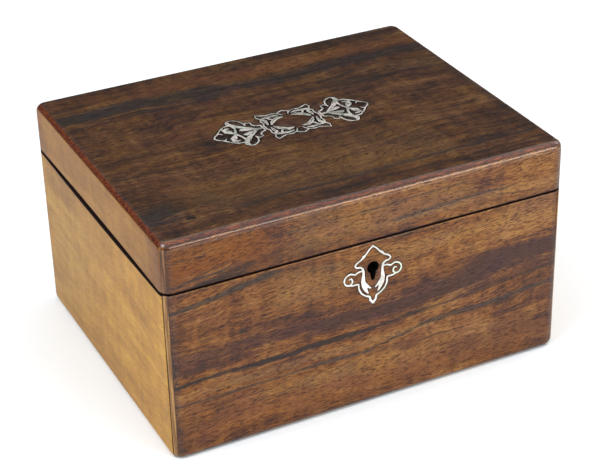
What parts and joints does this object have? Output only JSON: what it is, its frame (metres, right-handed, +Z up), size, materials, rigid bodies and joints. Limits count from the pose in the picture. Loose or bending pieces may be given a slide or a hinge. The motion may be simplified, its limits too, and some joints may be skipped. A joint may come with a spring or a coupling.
{
  "type": "lidded wooden box",
  "caption": "Rectangular walnut table box with softly rounded edges, a hinged lid inlaid with pierced shell scrollwork and a shell escutcheon round its keyhole.",
  "frame": {"origin": "middle of the flat underside, which stands on the table", "axes": "+Z up, front with the keyhole faces -Y, +X along the length of the box to the viewer's right"},
  "size_m": [0.28, 0.2276, 0.154],
  "materials": {
    "box_walnut": "satin french polish over figured walnut veneer",
    "lid_walnut": "darkened satin french polish over figured walnut veneer",
    "shell": null,
    "brass": "dull aged brass"
  },
  "bodies": {
    "box": {"box_body": "box_walnut", "keyhole_escutcheon": "shell", "box_lock": "brass", "left_hinge_lower_leaf": "brass", "left_hinge_pin": "brass", "right_hinge_lower_leaf": "brass", "right_hinge_pin": "brass"},
    "lid": {"lid": "lid_walnut", "lock_link_plate": "brass", "lid_inlay_left": "shell", "lid_inlay_centre": "shell", "lid_inlay_right": "shell", "left_hinge_upper_leaf": "brass", "right_hinge_upper_leaf": "brass"}
  },
  "joints": [
    {"name": "lid_hinge", "type": "hinge", "parent": "box", "child": "lid", "pos_m": [0, 0.1132, 0.1198], "axis": [-1, 0, 0], "range_deg": [0, 95]}
  ]
}
